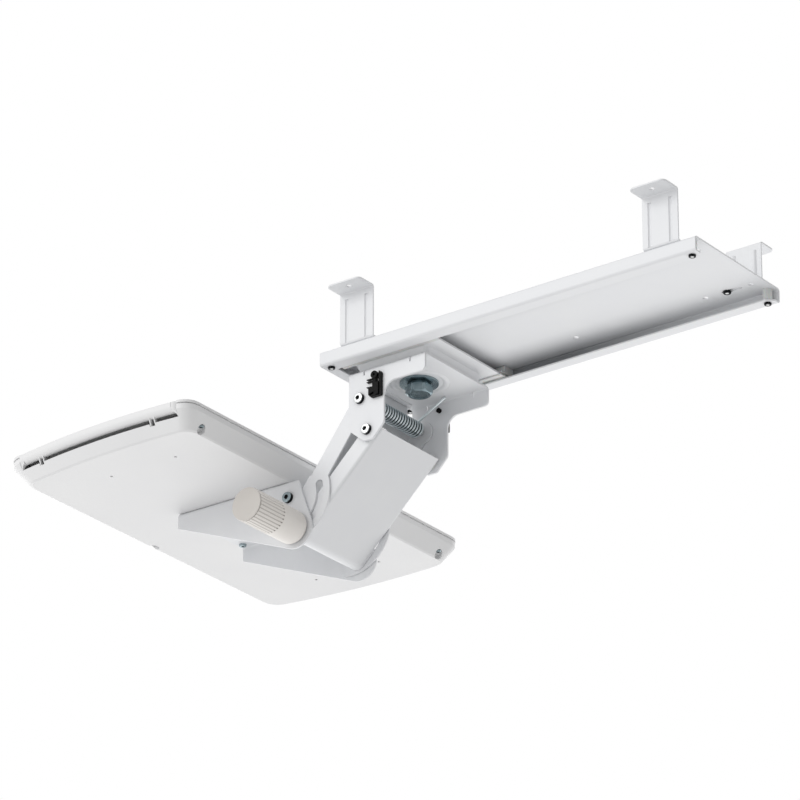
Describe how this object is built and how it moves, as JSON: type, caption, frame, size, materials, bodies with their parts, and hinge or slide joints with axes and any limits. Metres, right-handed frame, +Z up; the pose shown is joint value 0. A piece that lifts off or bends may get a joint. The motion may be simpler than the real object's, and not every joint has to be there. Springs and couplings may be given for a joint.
{
  "type": "keyboard tray under desk",
  "caption": "Pull-out keyboard tray hung under a desk: track on spacer brackets, sliding swivel head, levelling parallelogram arm with clamp knob, and a moulded tray.",
  "frame": {"origin": "centre of the four desk screw holes, on the plane of the brackets' top faces", "axes": "+X to the user's right, +Y to the back of the desk along the track, +Z up"},
  "size_m": [0.574, 0.918, 0.3135],
  "materials": {
    "powder_coat": "fine satin powder coat",
    "zinc": "blue-passivated zinc",
    "nickel": "bright nickel",
    "spring_steel": "oiled, zinc-plated wire",
    "nylon": "natural nylon, satin",
    "black_plastic": "satin",
    "tray_plastic": "fine moulded grain",
    "knob_plastic": "smooth moulded",
    "brass": "turned"
  },
  "bodies": {
    "track": {"track_channel": "powder_coat", "bracket_front_right": "powder_coat", "bracket_front_left": "powder_coat", "bracket_rear_right": "powder_coat", "bracket_rear_left": "powder_coat", "foot_screws": "zinc", "foot_nuts": "zinc", "stop_bumpers": "nylon", "stop_screws": "zinc"},
    "carriage": {"carriage_plate": "powder_coat", "glide_right": "nylon", "glide_left": "nylon", "swivel_bearing": "nylon", "swivel_bolt": "zinc", "swivel_nut": "zinc", "swivel_washer": "zinc"},
    "head": {"head_bracket": "powder_coat", "upper_pivot_bolt": "nickel", "lower_pivot_bolt": "nickel", "pivot_nuts": "zinc", "spring_sleeve": "nylon", "torsion_spring": "spring_steel", "cable_clip_right": "black_plastic", "cable_clip_left": "black_plastic"},
    "upper_arm": {"upper_link": "powder_coat", "upper_link_washers": "nylon"},
    "lower_arm": {"lower_link": "powder_coat", "lower_link_spacers": "nylon"},
    "tray": {"tray_bracket": "powder_coat", "tray_bracket_screws": "zinc", "fin_pivot_bolt": "nickel", "clamp_stud": "zinc", "tray_nuts": "zinc", "tray_shell": "tray_plastic", "tray_top_board": "tray_plastic", "side_rail_right": "tray_plastic", "side_rail_left": "tray_plastic", "corner_screws": "zinc", "knob_washer": "zinc"},
    "knob": {"height_knob": "knob_plastic", "knob_cap": "knob_plastic", "knob_insert": "brass"}
  },
  "joints": [
    {"name": "carriage_slide", "type": "slide", "parent": "track", "child": "carriage", "axis": [0, 1, 0], "range_m": [0, 0.377]},
    {"name": "head_swivel", "type": "hinge", "parent": "carriage", "child": "head", "pos_m": [0, -0.1985, -0.099], "axis": [0, 0, 1], "continuous": true},
    {"name": "arm_lift", "type": "hinge", "parent": "head", "child": "lower_arm", "pos_m": [0, -0.229, -0.1821], "axis": [-1, 0, 0], "range_deg": [0, 37]},
    {"name": "upper_arm_lift", "type": "hinge", "parent": "head", "child": "upper_arm", "pos_m": [0, -0.24, -0.1376], "axis": [-1, 0, 0], "range_deg": [0, 37]},
    {"name": "tray_level", "type": "hinge", "parent": "lower_arm", "child": "tray", "pos_m": [0, -0.33943, -0.288], "axis": [-1, 0, 0], "range_deg": [-37, 0]},
    {"name": "knob_turn", "type": "hinge", "parent": "tray", "child": "knob", "pos_m": [0.118, -0.33943, -0.288], "axis": [1, 0, 0], "range_deg": [0, 360]}
  ],
  "couplings": [
    {"joint": "upper_arm_lift", "follows": "arm_lift", "ratio": 1},
    {"joint": "tray_level", "follows": "arm_lift", "ratio": -1}
  ]
}
